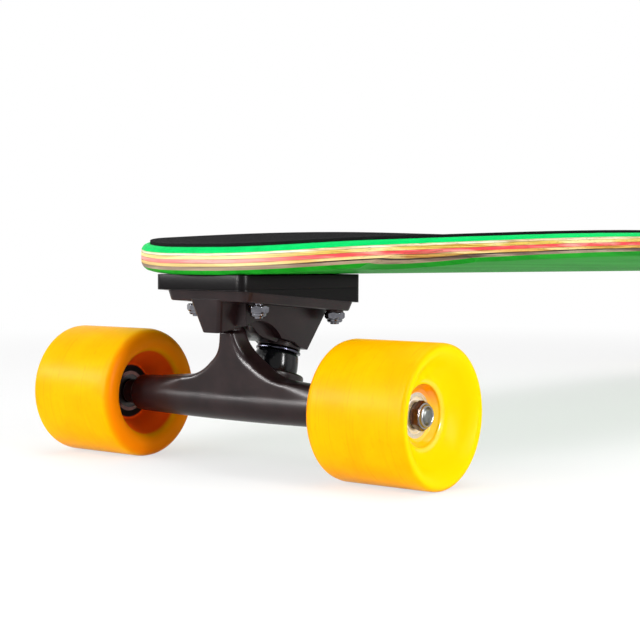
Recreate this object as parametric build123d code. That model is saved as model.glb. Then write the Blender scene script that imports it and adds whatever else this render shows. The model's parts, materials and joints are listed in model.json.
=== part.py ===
from build123d import *
import os
from math import asin, atan, atan2, cos, degrees, radians, sin

# A complete skateboard: laminated deck, two kingpin trucks on wedge risers, four soft wheels.
# The board stands on its wheels, nose towards -X, left side towards -Y. Millimetres.

# Board
WHEELBASE = 840.0
AXLE_TO_TIP = 43.0
DECK_WIDTH = 230.0
DECK_UNDERSIDE_Z = 100.5
SIDE_RADIUS = 977.6
AXLE_TO_STRAIGHT_SIDE = 292.5

# Deck section: a flat middle strip with rails that curve up beside it
FLAT_HALF_WIDTH = 9.0
RAIL_RADIUS = 471.0
RAIL_SWEEP = 14.4
TOP_EDGE_ROUND = 4.0
BOTTOM_EDGE_ROUND = 5.0
PLIES = (
    ("bottom_face_ply", 2.1),
    ("dark_ply", 1.8),
    ("tan_ply", 1.7),
    ("red_ply", 1.9),
    ("yellow_ply", 1.9),
    ("cream_ply", 1.2),
    ("top_face_ply", 3.1),
)
GRIP_THICKNESS = 1.6
GRIP_INSET = 4.6
GRIP_HOLE_RADIUS = 5.2

# Scoops sanded into the lower edge over each wheel
WELL_RADIUS = 144.0
WELL_AXLE_OFFSET = 31.5
WELL_INNER_Y = 62.0
WELL_EDGE_Y = 81.3
WELL_EDGE_DEPTH = 7.2

# Mounting hardware
BOLT_SPACING_X = 63.5
BOLT_SPACING_Y = 41.3
BOLT_CENTRE_X = 18.2
BOLT_RADIUS = 2.4
BOLT_HOLE_RADIUS = 2.6
BOLT_HEAD_RADIUS = 4.6
BOLT_HEAD_DEPTH = 2.2
BOLT_SOCKET_ACROSS = 3.2
BOLT_SOCKET_DEPTH = 1.6
BOLT_PROTRUSION = 0.9
NUT_ACROSS_FLATS = 9.5
NUT_HEX_HEIGHT = 3.7
NUT_DOME_HEIGHT = 1.8
NUT_DOME_RADIUS = 4.2
NUT_DOME_CHAMFER = 0.7
NUT_BOSS_RADIUS = 4.7
NUT_BOSS_DROP = 1.0

# Riser: a flat pad with a wedge shim below it, both in the truck's own frame
RISER_FRONT_X = -36.4
RISER_LENGTH = 98.7
RISER_WIDTH = 60.2
RISER_CORNER = 5.5
PAD_THICKNESS = 7.3
SHIM_TIP = 0.4
SHIM_HEEL = 8.0

# Baseplate
FLANGE_FRONT = 5.2
FLANGE_LENGTH = 91.6
FLANGE_WIDTH = 55.7
FLANGE_THICKNESS = 5.0
FLANGE_DRAFT = 20.0
FLANGE_CORNER = 6.0
FLANGE_ROUND = 1.2
PIVOT_HOUSING_TOP = (-30.9, -9.0, 10.4, 53.0)
PIVOT_HOUSING_FOOT = (-26.2, -6.8, 5.6, 35.0)
PIVOT_HOUSING_ROUND = 2.4
PIVOT_FOOT_ROUND = 0.9
PIVOT_FOOT_FRONT = (-26.7, 35.9)
PIVOT_FOOT_REAR = (-7.1, 38.8)
WALL_HALF_WIDTH = 14.0
WALL_FRONT_X = -15.5
WALL_OUTLINE = ((13.2, 32.5), (24.3, 29.8), (27.8, 27.4), (34.8, 25.3), (51.0, 45.4))
ARCH_CENTRE = (-5.1, 19.6)
ARCH_RADIUS = 22.4
CORE_HALF_WIDTH = 9.5
CORE_ROUND = 2.0
CORE_OUTLINE = ((-8.0, 39.6), (-4.4, 38.8), (-0.6, 35.4), (4.6, 32.2), (14.0, 29.6))

# Kingpin stack, measured along the kingpin from the underside of the board-side washer
KINGPIN_ORIGIN = (27.4, 24.0)
KINGPIN_TILT = 16.0
KINGPIN_RADIUS = 4.75
KINGPIN_HEAD_ACROSS = 14.0
KINGPIN_HEAD = (21.2, 27.2)
KINGPIN_END = -37.4
KINGPIN_CHAMFER = 0.8
SEAT_RADIUS = 11.5
HEAD_RECESS_RADIUS = 9.0
STACK_BORE_RADIUS = 4.8
BOARD_WASHER_RADIUS = 12.0
BOARD_WASHER_THICKNESS = 2.3
BOARD_BUSHING = (11.2, 11.9, 13.0)
ROAD_BUSHING = (9.6, 8.0, 9.5)
ROAD_BUSHING_TOP = -18.5
ROAD_WASHER_RADIUS = 8.5
ROAD_WASHER_THICKNESS = 1.2
KINGPIN_NUT_ACROSS = 14.3
KINGPIN_NUT_HEIGHT = 7.4
BUSHING_ROUND = 1.2
WASHER_ROUND = 0.9

# Hanger
BARREL_HALF_LENGTH = 82.5
BARREL_MIDDLE_RADIUS = 10.9
BARREL_END_RADIUS = 9.3
NECK_HALF_WIDTH = 4.6
FLARE_RADIUS = 30.0
WEB_SIDE = ((-10.9, 0.0), (-15.2, 36.2), (-4.5, 36.2), (0.5, 23.0), (4.5, 9.5), (6.0, 0.0))
WEB_FRONT_RADIUS = 58.0
WEB_ROUND = 1.8
WEB_FOOT_Z = 10.4
GUSSET_TOP = ((-3.0, 4.0), (-3.0, 15.0), (5.0, 17.5), (14.0, 13.0))
GUSSET_FOOT = ((22.0, 4.0), (12.0, -6.0), (4.0, -8.0))
GUSSET_HALF_WIDTH = 12.0
RING_RADIUS = 16.0
RING_TOP = -11.0
RING_BOTTOM = -20.0
RING_BORE_RADIUS = 6.5
RING_SEAT_RADIUS = 12.3
RING_SEAT_DEPTH = 2.0
RING_SEAT_ABOVE = 12.0
RING_LOWER_SEAT_RADIUS = 10.2
RING_LOWER_SEAT_DEPTH = 1.5
RING_ROUND = 1.2
RING_CENTRE = -15.5
NUT_RELIEF_RADIUS = 11.8
PIVOT_CENTRE = (-12.0, 42.0)
PIVOT_RADIUS = 4.1
PIVOT_CLEARANCE = 0.05
PIVOT_START = 36.0
PIVOT_END = 59.0
CUP_RADIUS = 5.4
CUP_START = 48.2
CUP_END = 61.0
CUP_FLOOR = 59.6
PIVOT_MOUTH_RADIUS = 4.8

# Axle and wheels
AXLE_RADIUS = 4.0
AXLE_HALF_LENGTH = 114.5
AXLE_CHAMFER = 0.9
WHEEL_RADIUS = 35.0
WHEEL_WIDTH = 58.1
WHEEL_TRACK = 188.9
INNER_LIP_ROUND = 6.0
OUTER_LIP_ROUND = 2.2
DISH_RIM_RADIUS = 30.8
DISH_RIM_ROUND = 3.2
DISH_MIDDLE = (23.8, 7.2)
DISH_MOUTH_RADIUS = 15.2
DISH_MOUTH_DEPTH = 11.9
DISH_MOUTH_ROUND = 1.2
RECESS_MOUTH_RADIUS = 21.6
RECESS_MOUTH_DEPTH = 3.0
RECESS_FLOOR_RADIUS = 15.5
BEARING_RADIUS = 11.0
BEARING_WIDTH = 7.0
BEARING_INNER_GAP = 18.0
SPACER_LENGTH = 10.0
SPACER_RADIUS = 5.6
HUB_SHOULDER_RADIUS = 9.3
OUTER_RING_BORE = 9.1
INNER_RING_RADIUS = 6.3
RING_FIT = 0.01
BALL_PITCH_RADIUS = 7.7
BALL_RADIUS = 1.95
GROOVE_RADIUS = 2.0
BALLS_PER_BEARING = 7
SHIELD_BORE_RADIUS = 6.5
SHIELD_THICKNESS = 0.4
SHIELD_INSET = 0.2
SPEED_WASHER_RADIUS = 5.6
AXLE_NUT_ACROSS = 12.7
AXLE_NUT_HEIGHT = 5.0
AXLE_COLLAR_HEIGHT = 0.9
AXLE_COLLAR_RADIUS = 5.4
NUT_CORNER_CUT = 1.1

# Worked out from the sizes above
AXLE_Z = WHEEL_RADIUS
HALF_BASE = WHEELBASE / 2
TIP_X = -HALF_BASE - AXLE_TO_TIP
DECK_THICKNESS = sum(thickness for name, thickness in PLIES)
DECK_UNDER_AXLE = DECK_UNDERSIDE_Z - AXLE_Z
DECK_TOP_AXLE = DECK_UNDER_AXLE + DECK_THICKNESS
SHIM_TOP = DECK_UNDER_AXLE - PAD_THICKNESS
SHIM_SLOPE = (SHIM_HEEL - SHIM_TIP) / RISER_LENGTH
SHIM_ANGLE = atan(SHIM_SLOPE)
TILT = radians(KINGPIN_TILT)
WHEEL_Y = WHEEL_TRACK / 2
WHEEL_INNER_Y = WHEEL_Y - WHEEL_WIDTH / 2
WHEEL_OUTER_Y = WHEEL_Y + WHEEL_WIDTH / 2
BEARING_START_Y = WHEEL_INNER_Y + BEARING_INNER_GAP
BEARING_END_Y = BEARING_START_Y + 2 * BEARING_WIDTH + SPACER_LENGTH
BEARING_CENTRES = (BEARING_START_Y + BEARING_WIDTH / 2, BEARING_END_Y - BEARING_WIDTH / 2)
SPEED_WASHER_THICKNESS = BEARING_START_Y - BARREL_HALF_LENGTH
LARGE = 200.0
FLAT_TOLERANCE = 0.01
STEEP_EDGE = 0.9
CUT_MARGIN = 1.0
BOLT_PLACES = [
    (BOLT_CENTRE_X + end * BOLT_SPACING_X / 2, side * BOLT_SPACING_Y / 2)
    for end in (-1, 1)
    for side in (-1, 1)
]

# Frames inside a truck: the tilted baseplate, the kingpin and the steering axis
BASE_PLANE = Plane(
    origin=(RISER_FRONT_X, 0, SHIM_TOP - SHIM_TIP),
    x_dir=(cos(SHIM_ANGLE), 0, -sin(SHIM_ANGLE)),
    z_dir=(sin(SHIM_ANGLE), 0, cos(SHIM_ANGLE)),
)
KINGPIN_PLANE = Plane(
    origin=(KINGPIN_ORIGIN[0], 0, KINGPIN_ORIGIN[1]),
    x_dir=(cos(TILT), 0, -sin(TILT)),
    z_dir=(sin(TILT), 0, cos(TILT)),
)
STEER_POINT = (KINGPIN_ORIGIN[0] + RING_CENTRE * sin(TILT), KINGPIN_ORIGIN[1] + RING_CENTRE * cos(TILT))
STEER_RISE = (PIVOT_CENTRE[0] - STEER_POINT[0], PIVOT_CENTRE[1] - STEER_POINT[1])
STEER_PLANE = Plane(
    origin=(STEER_POINT[0], 0, STEER_POINT[1]),
    x_dir=(STEER_RISE[1], 0, -STEER_RISE[0]),
    z_dir=(STEER_RISE[0], 0, STEER_RISE[1]),
)


def rod(plane, radius, start, end):
    """A round bar along a frame's own Z, from start to end."""
    bar = Cylinder(radius, end - start, align=(Align.CENTER, Align.CENTER, Align.MIN))
    return plane.location * Pos(0, 0, start) * bar


def upright(x, y, radius, low, high):
    """A vertical round bar."""
    bar = Cylinder(radius, high - low, align=(Align.CENTER, Align.CENTER, Align.MIN))
    return Pos(x, y, low) * bar


def side_plate(points, half_width):
    """A plate of the outline given by its X and Z points, centred on the board's middle plane."""
    face = Plane.XZ * make_face(Polyline(*points, close=True))
    return extrude(face, amount=half_width, both=True)


def hexagon(plane, across_flats, start, end):
    """A hexagonal bar along a frame's own Z."""
    face = RegularPolygon(across_flats / 2, 6, major_radius=False)
    return plane.location * Pos(0, 0, start) * extrude(face, amount=end - start)


def turned(points):
    """A solid turned about the axle from its outline of radius and distance along the axle."""
    return revolve(make_face(Polyline(*points, close=True)), axis=Axis.Y)


def tube(radius, bore, start, end):
    """A plain ring about the axle."""
    return turned(((bore, start), (radius, start), (radius, end), (bore, end)))


def both_sides(shape):
    """The same turned piece at both ends of the axle."""
    return [shape, Rot(0, 0, 180) * shape]


# Deck


def deck_outline(inset):
    """The deck's plan: round ends that run into long side arcs and short straight sides."""
    side_x = HALF_BASE - AXLE_TO_STRAIGHT_SIDE
    side_drop = SIDE_RADIUS - DECK_WIDTH / 2
    reach = -TIP_X - side_x
    nose_radius = (SIDE_RADIUS**2 - reach**2 - side_drop**2) / (2 * (SIDE_RADIUS - reach))
    nose_x = -TIP_X - nose_radius
    turn = atan2(nose_x - side_x, side_drop)
    nose_cut = nose_radius - inset
    side_cut = SIDE_RADIUS - inset
    edges = []
    for end in (-1, 1):
        tip = (end * (nose_x + nose_cut), 0)
        meet = (end * (nose_x + nose_cut * sin(turn)), nose_cut * cos(turn))
        edges.append(ThreePointArc((meet[0], -meet[1]), tip, meet))
        for side in (-1, 1):
            points = [
                (end * (side_x + side_cut * sin(angle)), side * (side_cut * cos(angle) - side_drop))
                for angle in (turn, turn / 2, 0)
            ]
            edges.append(ThreePointArc(*points))
    half_width = DECK_WIDTH / 2 - inset
    for side in (-1, 1):
        edges.append(Line((-side_x, side * half_width), (side_x, side * half_width)))
    return make_face(edges)


def deck_layer(low, high):
    """A full-length layer of the deck's section between two heights above its underside."""
    centre_z = DECK_UNDERSIDE_Z + RAIL_RADIUS
    sweep = radians(RAIL_SWEEP)
    edges = []
    ends = []
    for height in (low, high):
        radius = RAIL_RADIUS - height
        z = DECK_UNDERSIDE_Z + height
        reach = FLAT_HALF_WIDTH + radius * sin(sweep)
        rise = centre_z - radius * cos(sweep)
        edges.append(Line((-FLAT_HALF_WIDTH, z), (FLAT_HALF_WIDTH, z)))
        edges.append(CenterArc((FLAT_HALF_WIDTH, centre_z), radius, -90, RAIL_SWEEP))
        edges.append(CenterArc((-FLAT_HALF_WIDTH, centre_z), radius, -90 - RAIL_SWEEP, RAIL_SWEEP))
        ends.append((reach, rise))
    for side in (-1, 1):
        edges.append(Line((side * ends[0][0], ends[0][1]), (side * ends[1][0], ends[1][1])))
    section = Plane.YZ * make_face(edges)
    return extrude(section, amount=-TIP_X + GRIP_INSET, both=True)


def underside_rise(y):
    """Height of the deck's underside above its flat middle at a distance from the centre line."""
    return RAIL_RADIUS * (1 - cos(asin((y - FLAT_HALF_WIDTH) / RAIL_RADIUS)))


def wheel_well(end, side):
    """The sanding drum's path for one scoop: deepest at the deck's edge, nothing further in."""
    inner_z = DECK_UNDERSIDE_Z + underside_rise(WELL_INNER_Y)
    edge_z = DECK_UNDERSIDE_Z + underside_rise(WELL_EDGE_Y) + WELL_EDGE_DEPTH
    lean = degrees(atan2(edge_z - inner_z, WELL_EDGE_Y - WELL_INNER_Y))
    drum = Cylinder(WELL_RADIUS, LARGE, align=(Align.CENTER, Align.CENTER, Align.CENTER))
    drum = Rot(90 + side * lean, 0, 0) * drum
    drop = WELL_RADIUS / cos(radians(lean))
    place = Pos(end * (HALF_BASE - WELL_AXLE_OFFSET), side * WELL_EDGE_Y, edge_z - drop)
    return place * drum


def deck_bolt_cut(x, y):
    """One bolt's hole through the deck, countersunk from the top."""
    top = DECK_UNDERSIDE_Z + DECK_THICKNESS
    hole = upright(x, y, BOLT_HOLE_RADIUS, DECK_UNDERSIDE_Z - CUT_MARGIN, top + CUT_MARGIN)
    sink = Cone(BOLT_HEAD_RADIUS - BOLT_HEAD_DEPTH, BOLT_HEAD_RADIUS, BOLT_HEAD_DEPTH)
    return hole + Pos(x, y, top - BOLT_HEAD_DEPTH / 2) * sink


def deck_bolt_places():
    """All eight bolt places in the board's frame."""
    return [(end * (x - HALF_BASE), end * y) for end in (1, -1) for x, y in BOLT_PLACES]


def rim_edges(blank, upper):
    """The edges where the deck's side walls meet its top or its underside."""
    walls = [face for face in blank.faces() if abs(face.normal_at().Z) < FLAT_TOLERANCE]
    found = ShapeList()
    for edge in ShapeList(edge for face in walls for edge in face.edges()):
        point = edge.position_at(0.5)
        height = point.Z - DECK_UNDERSIDE_Z - underside_rise(max(abs(point.Y), FLAT_HALF_WIDTH))
        level = abs(edge.tangent_at(0.5).Z) < STEEP_EDGE
        if level and (height > DECK_THICKNESS / 2) == upper:
            found.append(edge)
    return found


def deck_blank():
    """The glued deck before it is taken apart into plies: outline, rounded edges, scoops and holes."""
    blank = deck_layer(0, DECK_THICKNESS) & extrude(deck_outline(0), amount=LARGE)
    blank = fillet(rim_edges(blank, True), TOP_EDGE_ROUND)
    blank = fillet(rim_edges(blank, False), BOTTOM_EDGE_ROUND)
    for end in (-1, 1):
        for side in (-1, 1):
            blank = blank - wheel_well(end, side)
    for x, y in deck_bolt_places():
        blank = blank - deck_bolt_cut(x, y)
    return blank


def deck():
    """The seven plies and the grip tape."""
    blank = deck_blank()
    nodes = {}
    low = 0.0
    for name, thickness in PLIES:
        nodes[name] = blank & deck_layer(low, low + thickness)
        low += thickness
    grip = deck_layer(low, low + GRIP_THICKNESS) & extrude(deck_outline(GRIP_INSET), amount=LARGE)
    for x, y in deck_bolt_places():
        grip = grip - upright(x, y, GRIP_HOLE_RADIUS, DECK_UNDERSIDE_Z, DECK_UNDERSIDE_Z + LARGE)
    nodes["grip_tape"] = grip
    return nodes


# Riser


def riser_prism(low, high):
    """A rounded upright block of the riser's plan."""
    face = RectangleRounded(RISER_LENGTH, RISER_WIDTH, RISER_CORNER)
    block = extrude(Pos(RISER_FRONT_X + RISER_LENGTH / 2, 0, low) * face, amount=high - low)
    for x, y in BOLT_PLACES:
        block = block - upright(x, y, BOLT_HOLE_RADIUS, low - CUT_MARGIN, high + CUT_MARGIN)
    return block


def riser_pad():
    return riser_prism(SHIM_TOP, DECK_UNDER_AXLE)


def wedge_shim():
    rear_x = RISER_FRONT_X + RISER_LENGTH
    wedge = side_plate(
        (
            (RISER_FRONT_X, SHIM_TOP),
            (rear_x, SHIM_TOP),
            (rear_x, SHIM_TOP - SHIM_HEEL),
            (RISER_FRONT_X, SHIM_TOP - SHIM_TIP),
        ),
        RISER_WIDTH,
    )
    return riser_prism(SHIM_TOP - SHIM_HEEL - CUT_MARGIN, SHIM_TOP) & wedge


# Baseplate


def nut_seat_z(x):
    """Height of the flat boss under the flange for the nut of the bolt at x."""
    flange_under = SHIM_TOP - SHIM_TIP - SHIM_SLOPE * (x - RISER_FRONT_X)
    return flange_under - FLANGE_THICKNESS / cos(SHIM_ANGLE) - NUT_BOSS_DROP


def flange():
    """The bolted plate, with drafted sides and rounded lower edges."""
    face = RectangleRounded(FLANGE_LENGTH, FLANGE_WIDTH, FLANGE_CORNER)
    centre = Pos(FLANGE_FRONT + FLANGE_LENGTH / 2, 0, 0)
    plate = extrude(centre * face, amount=FLANGE_THICKNESS, dir=(0, 0, -1), taper=FLANGE_DRAFT)
    lower = plate.faces().sort_by(Axis.Z)[0]
    return BASE_PLANE.location * fillet(lower.edges(), FLANGE_ROUND)


def housing_level(front, rear, half_width, z):
    return Pos((front + rear) / 2, 0, z) * RectangleRounded(rear - front, 2 * half_width, PIVOT_HOUSING_ROUND)


def pivot_housing():
    """The small pyramid that holds the pivot cup, with a slanted foot."""
    block = loft([housing_level(*PIVOT_HOUSING_FOOT), housing_level(*PIVOT_HOUSING_TOP)])
    slope = (PIVOT_FOOT_REAR[1] - PIVOT_FOOT_FRONT[1]) / (PIVOT_FOOT_REAR[0] - PIVOT_FOOT_FRONT[0])
    front = (PIVOT_FOOT_FRONT[0] - LARGE, PIVOT_FOOT_FRONT[1] - slope * LARGE)
    rear = (PIVOT_FOOT_REAR[0] + LARGE, PIVOT_FOOT_REAR[1] + slope * LARGE)
    keep = side_plate((front, rear, (rear[0], LARGE), (front[0], LARGE)), LARGE)
    block = block & keep
    foot = block.faces().sort_by(Axis.Z)[0]
    return fillet(foot.edges(), PIVOT_FOOT_ROUND)


def kingpin_housing():
    """Two side walls with arches, the core between them and the round seat of the kingpin."""
    roof = DECK_UNDER_AXLE
    front_x = WALL_FRONT_X
    rear_x = WALL_OUTLINE[-1][0]
    outline = ((front_x, roof), (front_x, ARCH_CENTRE[1]), *WALL_OUTLINE, (rear_x, roof))
    walls = side_plate(outline, WALL_HALF_WIDTH)
    arch = Cylinder(ARCH_RADIUS, LARGE, rotation=(90, 0, 0))
    walls = walls - Pos(ARCH_CENTRE[0], 0, ARCH_CENTRE[1]) * arch
    core = side_plate((*CORE_OUTLINE, (rear_x, roof), (CORE_OUTLINE[0][0], roof)), CORE_HALF_WIDTH)
    core = fillet(core.edges().filter_by(Axis.Y).sort_by(Axis.Z)[:3], CORE_ROUND)
    seat = rod(KINGPIN_PLANE, SEAT_RADIUS, BOARD_WASHER_THICKNESS, KINGPIN_HEAD[0])
    below_seat = rod(KINGPIN_PLANE, LARGE, -LARGE, BOARD_WASHER_THICKNESS)
    inner = (core + seat) - below_seat
    return walls + inner


def baseplate():
    plate = flange() + pivot_housing() + kingpin_housing()
    for x, y in BOLT_PLACES:
        plate = plate + upright(x, y, NUT_BOSS_RADIUS, nut_seat_z(x), SHIM_TOP - SHIM_HEEL)
    above = BASE_PLANE.location * Box(2 * LARGE, LARGE, LARGE, align=(Align.CENTER, Align.CENTER, Align.MIN))
    plate = plate - above
    plate = plate - rod(KINGPIN_PLANE, STACK_BORE_RADIUS, -LARGE, LARGE)
    plate = plate - rod(KINGPIN_PLANE, HEAD_RECESS_RADIUS, KINGPIN_HEAD[0], LARGE)
    plate = plate - rod(STEER_PLANE, CUP_RADIUS, CUP_START, CUP_END)
    plate = plate - rod(STEER_PLANE, PIVOT_MOUTH_RADIUS, 0, CUP_START)
    for x, y in BOLT_PLACES:
        plate = plate - upright(x, y, BOLT_HOLE_RADIUS, 0, LARGE)
    return plate


def pivot_cup():
    cup = rod(STEER_PLANE, CUP_RADIUS, CUP_START, CUP_END)
    return cup - rod(STEER_PLANE, PIVOT_RADIUS + PIVOT_CLEARANCE, CUP_START, CUP_FLOOR)


def mounting_bolts():
    bolts = []
    for x, y in BOLT_PLACES:
        tip = nut_seat_z(x) - NUT_HEX_HEIGHT - NUT_DOME_HEIGHT - BOLT_PROTRUSION
        shank = upright(x, y, BOLT_RADIUS, tip, DECK_TOP_AXLE - BOLT_HEAD_DEPTH)
        head = Cone(BOLT_HEAD_RADIUS - BOLT_HEAD_DEPTH, BOLT_HEAD_RADIUS, BOLT_HEAD_DEPTH)
        head = Pos(x, y, DECK_TOP_AXLE - BOLT_HEAD_DEPTH / 2) * head
        socket = RegularPolygon(BOLT_SOCKET_ACROSS / 2, 6, major_radius=False)
        drive = extrude(Pos(x, y, DECK_TOP_AXLE - BOLT_SOCKET_DEPTH) * socket, amount=LARGE)
        bolts.append(shank + head - drive)
    return bolts


def mounting_nuts():
    """Lock nuts: a hexagon with a domed collar below it."""
    nuts = []
    for x, y in BOLT_PLACES:
        seat = nut_seat_z(x)
        below = Plane(origin=(x, y, seat), z_dir=(0, 0, -1))
        nut = hexagon(below, NUT_ACROSS_FLATS, 0, NUT_HEX_HEIGHT)
        collar = rod(below, NUT_DOME_RADIUS, 0, NUT_HEX_HEIGHT + NUT_DOME_HEIGHT)
        collar = chamfer(collar.edges().sort_by(Axis.Z)[0], NUT_DOME_CHAMFER)
        nuts.append(nut + collar - rod(below, BOLT_RADIUS, -CUT_MARGIN, LARGE))
    return nuts


# Kingpin stack


def kingpin():
    pin = rod(KINGPIN_PLANE, KINGPIN_RADIUS, KINGPIN_END, KINGPIN_HEAD[0])
    pin = chamfer(pin.edges().sort_by(Axis.Z)[0], KINGPIN_CHAMFER)
    return pin + hexagon(KINGPIN_PLANE, KINGPIN_HEAD_ACROSS, *KINGPIN_HEAD)


def stack_ring(low_radius, high_radius, low, high, rounding):
    """A round piece threaded on the kingpin, wider at one end if its radii differ."""
    outline = ((STACK_BORE_RADIUS, low), (low_radius, low), (high_radius, high), (STACK_BORE_RADIUS, high))
    face = Plane.XZ * make_face(Polyline(*outline, close=True))
    ring = revolve(face, axis=Axis.Z)
    if rounding:
        circles = ring.edges().filter_by(GeomType.CIRCLE)
        ring = fillet([edge for edge in circles if edge.radius > STACK_BORE_RADIUS + CUT_MARGIN], rounding)
    return KINGPIN_PLANE.location * ring


def kingpin_stack():
    """Washers, bushings and lock nut in their order along the kingpin."""
    road_low = ROAD_BUSHING_TOP - ROAD_BUSHING[2]
    washer_low = road_low - ROAD_WASHER_THICKNESS
    nut_low = washer_low - KINGPIN_NUT_HEIGHT
    nut = hexagon(KINGPIN_PLANE, KINGPIN_NUT_ACROSS, nut_low, washer_low)
    board_washer = (BOARD_WASHER_RADIUS, BOARD_WASHER_RADIUS)
    road_washer = (ROAD_WASHER_RADIUS, ROAD_WASHER_RADIUS)
    board_top, board_foot, board_height = BOARD_BUSHING
    road_top, road_foot, _ = ROAD_BUSHING
    return {
        "board_side_washer": stack_ring(*board_washer, 0, BOARD_WASHER_THICKNESS, WASHER_ROUND),
        "board_side_bushing": stack_ring(board_foot, board_top, -board_height, 0, BUSHING_ROUND),
        "road_side_bushing": stack_ring(road_foot, road_top, road_low, ROAD_BUSHING_TOP, BUSHING_ROUND),
        "road_side_washer": stack_ring(*road_washer, washer_low, road_low, 0),
        "kingpin_nut": nut - rod(KINGPIN_PLANE, KINGPIN_RADIUS, -LARGE, LARGE),
    }


# Hanger


def hanger_web():
    """The web that narrows from the barrel to the neck in two large quarter rounds."""
    centre_y = NECK_HALF_WIDTH + FLARE_RADIUS
    centre_z = WEB_FOOT_Z + FLARE_RADIUS
    foot, neck = WEB_SIDE[:2]
    lean = degrees(atan2(foot[0] - neck[0], neck[1] - foot[1]))
    front = Rot(0, -lean, 0) * Pos(WEB_FRONT_RADIUS, 0, 0) * Cylinder(WEB_FRONT_RADIUS, LARGE)
    front = Pos(foot[0], 0, 0) * front
    web = side_plate(WEB_SIDE, centre_y) & front
    for side in (-1, 1):
        scoop = Cylinder(FLARE_RADIUS, LARGE, rotation=(0, 90, 0))
        web = web - Pos(0, side * centre_y, centre_z) * scoop
        away = Align.MIN if side > 0 else Align.MAX
        outside = Box(LARGE, LARGE, LARGE, align=(Align.CENTER, away, Align.MIN))
        web = web - Pos(0, side * NECK_HALF_WIDTH, centre_z) * outside
    rims = web.edges().filter_by(GeomType.BSPLINE)
    return fillet(rims, WEB_ROUND)


def hanger():
    profile = (
        Line((0, -BARREL_HALF_LENGTH), (BARREL_END_RADIUS, -BARREL_HALF_LENGTH)),
        ThreePointArc(
            (BARREL_END_RADIUS, -BARREL_HALF_LENGTH),
            (BARREL_MIDDLE_RADIUS, 0),
            (BARREL_END_RADIUS, BARREL_HALF_LENGTH),
        ),
        Line((BARREL_END_RADIUS, BARREL_HALF_LENGTH), (0, BARREL_HALF_LENGTH)),
        Line((0, BARREL_HALF_LENGTH), (0, -BARREL_HALF_LENGTH)),
    )
    body = revolve(make_face(profile), axis=Axis.Y) + hanger_web()
    body = body + side_plate((*GUSSET_TOP, *GUSSET_FOOT), GUSSET_HALF_WIDTH)
    ring = rod(KINGPIN_PLANE, RING_RADIUS, RING_BOTTOM, RING_TOP)
    ring = fillet(ring.edges().filter_by(GeomType.CIRCLE), RING_ROUND)
    body = body + ring
    body = body - rod(KINGPIN_PLANE, RING_BORE_RADIUS, -LARGE, LARGE)
    body = body - rod(KINGPIN_PLANE, RING_SEAT_RADIUS, RING_TOP - RING_SEAT_DEPTH, RING_TOP + RING_SEAT_ABOVE)
    body = body - rod(KINGPIN_PLANE, RING_LOWER_SEAT_RADIUS, RING_BOTTOM, RING_BOTTOM + RING_LOWER_SEAT_DEPTH)
    body = body - rod(KINGPIN_PLANE, NUT_RELIEF_RADIUS, -LARGE, RING_BOTTOM)
    nose = rod(STEER_PLANE, PIVOT_RADIUS, PIVOT_START, PIVOT_END - PIVOT_RADIUS)
    tip = STEER_PLANE.location * Pos(0, 0, PIVOT_END - PIVOT_RADIUS) * Sphere(PIVOT_RADIUS)
    body = body + (nose + tip)
    bore = Cylinder(AXLE_RADIUS, 2 * LARGE, rotation=(90, 0, 0))
    return body - bore


# Axle


def axle():
    pin = Cylinder(AXLE_RADIUS, 2 * AXLE_HALF_LENGTH, rotation=(90, 0, 0))
    return chamfer(pin.edges().filter_by(GeomType.CIRCLE), AXLE_CHAMFER)


def axle_nut():
    start = BEARING_END_Y + SPEED_WASHER_THICKNESS
    outward = Plane(origin=(0, start, 0), x_dir=(1, 0, 0), z_dir=(0, 1, 0))
    nut = hexagon(outward, AXLE_NUT_ACROSS, 0, AXLE_NUT_HEIGHT)
    corner = AXLE_NUT_ACROSS / 2
    limit = turned(
        (
            (0, start),
            (2 * corner, start),
            (2 * corner, start + AXLE_NUT_HEIGHT - NUT_CORNER_CUT),
            (corner, start + AXLE_NUT_HEIGHT),
            (0, start + AXLE_NUT_HEIGHT),
        )
    )
    collar = rod(outward, AXLE_COLLAR_RADIUS, 0, AXLE_NUT_HEIGHT + AXLE_COLLAR_HEIGHT)
    return (nut & limit) + collar - rod(outward, AXLE_RADIUS, -CUT_MARGIN, LARGE)


def speed_washer(start):
    return tube(SPEED_WASHER_RADIUS, AXLE_RADIUS + RING_FIT, start, start + SPEED_WASHER_THICKNESS)


# Wheels and bearings


def rounded_corner(face, radius, along, rounding):
    """Rounds one corner of a turned piece's outline."""
    corner = Vector(radius, along)
    found = [vertex for vertex in face.vertices() if (Vector(vertex) - corner).length < FLAT_TOLERANCE]
    return fillet(found, rounding)


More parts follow.
